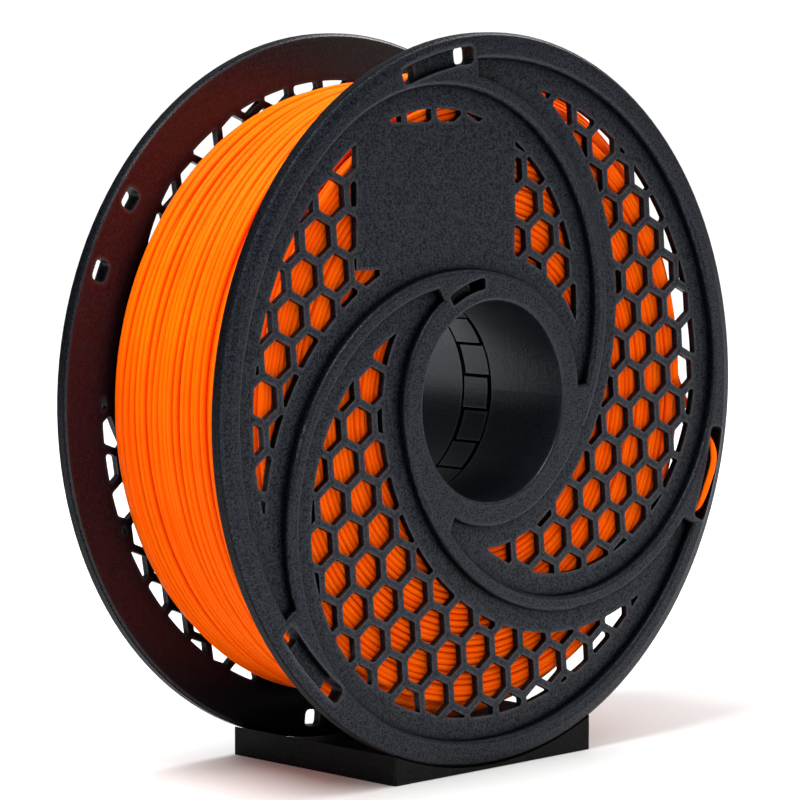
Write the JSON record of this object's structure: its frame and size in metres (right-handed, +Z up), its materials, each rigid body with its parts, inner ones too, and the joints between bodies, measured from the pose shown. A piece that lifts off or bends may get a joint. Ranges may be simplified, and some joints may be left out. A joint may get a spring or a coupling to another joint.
{
  "type": "filament spool",
  "caption": "Round spool of wound filament with perforated flanges and a plain bore, standing in a low block cradle that it can turn in.",
  "frame": {"origin": "on the table, under the middle of the spool", "axes": "+Z up, +Y along the spool's axis from the front flange to the rear flange, +X to the right seen from the front"},
  "size_m": [0.2, 0.0683, 0.2013],
  "materials": {
    "spool_plastic": "fine spark-eroded texture, satin",
    "filament": "smooth extruded, semi-gloss",
    "cradle_plastic": "matte, slightly grainy"
  },
  "bodies": {
    "cradle": {"cradle": "cradle_plastic"},
    "spool": {"front_spool_half": "spool_plastic", "rear_spool_half": "spool_plastic", "filament_winding": "filament", "filament_tail": "filament"}
  },
  "joints": [
    {"name": "spool_turn", "type": "hinge", "parent": "cradle", "child": "spool", "pos_m": [0, 0, 0.1013], "axis": [0, 1, 0], "continuous": true}
  ]
}
